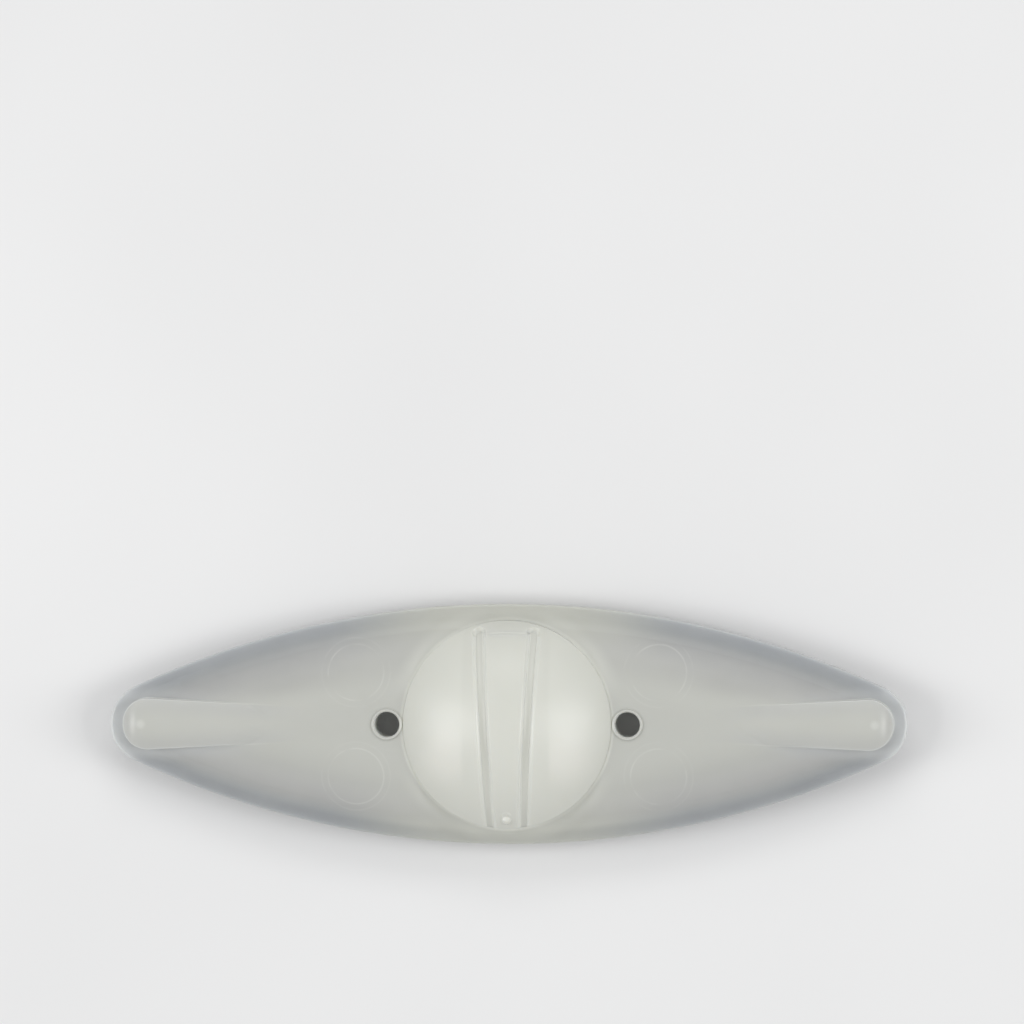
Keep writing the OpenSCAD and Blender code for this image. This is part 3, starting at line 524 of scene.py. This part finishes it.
def web(name, material, rows, thickness, rise=None):
    """A thin closed piece whose top follows rows of points. rise lifts each row, and the shading ignores
    it."""
    wide = len(rows[0])
    quads = [(r * wide + c, r * wide + c + 1, (r + 1) * wide + c + 1, (r + 1) * wide + c)
             for r in range(len(rows) - 1) for c in range(wide - 1)]
    top = bpy.data.meshes.new(name + "_top")
    top.from_pydata([p * MM for row in rows for p in row], [], quads)
    up = [v.normal.copy() for v in top.vertices]
    lifts = [(rise[r] if rise else 0.0) for r in range(len(rows)) for _ in range(wide)]
    over = [v.co + n * lift * MM for v, n, lift in zip(top.vertices, up, lifts)]
    under = [p - n * thickness * MM for p, n in zip(over, up)]
    bpy.data.meshes.remove(top)

    count = len(over)
    bottom_quads = [tuple(i + count for i in quad[::-1]) for quad in quads]
    rim = [*range(wide), *range(2 * wide - 1, count, wide), *range(count - 2, count - wide - 1, -1),
           *range(count - 2 * wide, 0, -wide)]
    sides = [(b, a, a + count, b + count) for a, b in zip(rim, rim[1:] + rim[:1])]
    made = bpy.data.meshes.new(name)
    made.from_pydata(over + under, [], quads + bottom_quads + sides)
    made.shade_smooth()
    if rise:
        made.normals_split_custom_set_from_vertices(up + [-n for n in up])
    made.materials.append(material)
    piece = bpy.data.objects.new(name, made)
    scene.collection.objects.link(piece)
    return piece


def slit_web(name, side):
    """The floor of one slit: a shallow gutter between its shoulders, then down the dome's wall to the
    sill."""
    half, deep, rise = 0.62, 0.62, 0.2
    end_deep, end_rise, end_length, past_end = 0.5, 0.05, math.radians(12), math.radians(1.6)
    wall_share, thickness = 0.85, 0.12
    columns, wall_rows, floor_rows = 13, 7, 60
    top = SLIT_TOP + past_end
    across_slit = spread(-1, 1, columns)
    feet = [slit_foot(side, half * t, rise * t * t - deep) for t in across_slit]
    corner = [slit_point(side, foot, half * t, rise * t * t - deep) for t, foot in zip(across_slit, feet)]
    lowest = SILL_Z - WEB_ROOT
    rows = [[Vector((p.x, p.y, lowest + (p.z - lowest) * part)) for p in corner]
            for part in spread(0, wall_share, wall_rows)]
    for part in spread(0, 1, floor_rows):
        row = []
        for t, foot in zip(across_slit, feet):
            angle = foot + (top - foot) * part
            end = ease(angle, SLIT_TOP - end_length, SLIT_TOP)
            low = deep + (end_deep - deep) * end
            lift = rise + (end_rise - rise) * end
            row.append(slit_point(side, angle, half * t, lift * t * t - low))
        rows.append(row)
    piece = web(name, shaded_web, rows, thickness)
    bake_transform(piece)


def moulded(point):
    """Moves a point on the ball down onto the shoulders and the hollow ends of the slits."""
    for side in (-1, 1):
        leant = Matrix.Rotation(side * SLIT_LEAN, 3, "Z") @ (point - BALL_CENTRE)
        middle, out, across = slit_place(side, math.atan2(leant.y, leant.z))
        over, beside = (point - middle).dot(out), abs((point - middle).dot(across))
        if SLIT_GAP / 2 <= beside < SLIT_FLARE:
            shoulder = math.sqrt(SLIT_SHOULDER ** 2 - (SLIT_FLARE - beside) ** 2) - SLIT_SHOULDER
            point = point + out * min(0.0, shoulder - over)
        end, end_out, _ = slit_place(side, SLIT_TOP)
        from_end = point - end - end_out * SLIT_END_LIFT
        if from_end.length < SLIT_END_R:
            along = from_end.dot(out)
            down = along + math.sqrt(SLIT_END_R ** 2 - from_end.length_squared + along ** 2)
            point = point - out * down
    return point


def hinge_web():
    """A skin over the hinge line, from slit to slit."""
    reach, half_x, thickness = 0.32, 3.78, 0.03
    crown, fall = 0.010, 0.055
    columns, row_count = 61, 13
    turn = Matrix.Rotation(-HINGE_ANGLE, 3, "X")
    rows, rise = [], []
    for y in spread(-reach, reach, row_count):
        row = []
        for t in spread(-1, 1, columns):
            x = half_x * math.sin(t * math.pi / 2)
            on_ball = turn @ Vector((x, y, math.sqrt(BALL_R ** 2 - x * x - y * y)))
            row.append(moulded(on_ball + BALL_CENTRE))
        rows.append(row)
        rise.append(crown - fall * (y / reach) ** 2)
    piece = web("hinge_web", frosted_web, rows, thickness, rise)
    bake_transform(piece)


def foot_web():
    """A fold between the sill and the free end of the tab."""
    half_x, inset, fold, thickness = 2.4, 0.12, 0.16, 0.1
    into_tab = 0.15
    columns, row_count = 25, 11
    low, high = SILL_Z - WEB_ROOT, TAB_END_Z + into_tab
    rows = []
    for part in spread(0, 1, row_count):
        r = DOME_R - inset - fold * math.sin(math.pi * part)
        z = low + (high - low) * part
        rows.append([Vector((x, -math.sqrt(r * r - x * x), z)) for x in spread(-half_x, half_x, columns)])
    piece = web("foot_web", frosted_web, rows, thickness)
    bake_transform(piece)


slit_web("left_slit_web", -1)
slit_web("right_slit_web", 1)
hinge_web()
foot_web()

# Plain pale floor, a hair under the part
FLOOR_HALF, FLOOR_GAP = 3.0, 0.00005
floor_mesh = bpy.data.meshes.new("floor")
corners = [(x * FLOOR_HALF, y * FLOOR_HALF, 0) for x, y in ((-1, -1), (1, -1), (1, 1), (-1, 1))]
floor_mesh.from_pydata(corners, [], [(0, 1, 2, 3)])
floor = bpy.data.objects.new("floor", floor_mesh)
floor.location.z = -FLOOR_GAP
scene.collection.objects.link(floor)
pale = Nodes("pale_floor")
pale.millimetres()
floor_clouds = pale.smooth(pale.noise(0.01, 2), 0.3, 0.7)
pale.set(Base_Color=pale.mix(floor_clouds, linear(227, 227, 227), linear(231, 231, 231)), Roughness=0.7)
floor_mesh.materials.append(pale.mat)

# Soft studio light: an even surround, a panel at each end of the leaf and a weaker one over its upper edge
SURROUND_COLOUR, SURROUND_STRENGTH = (0.96, 0.965, 0.97, 1), 0.45
END_PANEL_SIZE, END_PANEL_POWER = (0.24, 0.34), 1.25
UPPER_PANEL_SIZE, UPPER_PANEL_POWER = (0.50, 0.24), 0.75
world = bpy.data.worlds.new("studio")
world.use_nodes = True
background = world.node_tree.nodes["Background"]
background.inputs["Color"].default_value = SURROUND_COLOUR
background.inputs["Strength"].default_value = SURROUND_STRENGTH
scene.world = world


def panel(name, place, size, power):
    """An area light that faces the part."""
    light = bpy.data.lights.new(name, "AREA")
    light.shape = "RECTANGLE"
    light.size, light.size_y = size
    light.energy = power
    made = bpy.data.objects.new(name, light)
    made.location = place
    made.rotation_euler = (-Vector(place)).to_track_quat("-Z", "Y").to_euler()
    scene.collection.objects.link(made)


panel("left_panel", (-0.40, 0.0, 0.40), END_PANEL_SIZE, END_PANEL_POWER)
panel("right_panel", (0.40, 0.0, 0.40), END_PANEL_SIZE, END_PANEL_POWER)
panel("upper_panel", (0.0, 0.50, 0.50), UPPER_PANEL_SIZE, UPPER_PANEL_POWER)

# Camera far above and a little to the right, where the photographer stood. The picture is VIEW_WIDTH wide
# at the seam, and the part lies in its lower half
VIEW_WIDTH, EYE_DISTANCE = 0.1578, 1.5
AIM = Vector((0.00054, 0.03267, PART_Z * MM))
SLOPE_X, SLOPE_Y = 0.055, 0.014
camera = bpy.data.cameras.new("camera")
camera.sensor_width = 36
camera.lens = camera.sensor_width * EYE_DISTANCE / VIEW_WIDTH
camera.clip_start, camera.clip_end = 0.01, 20
eye = bpy.data.objects.new("camera", camera)
eye.location = AIM + EYE_DISTANCE * Vector((SLOPE_X, SLOPE_Y, 1)).normalized()
eye.rotation_euler = (-math.atan(SLOPE_Y), math.atan(SLOPE_X), 0)
scene.collection.objects.link(eye)
scene.camera = eye

scene.view_settings.view_transform = "Standard"
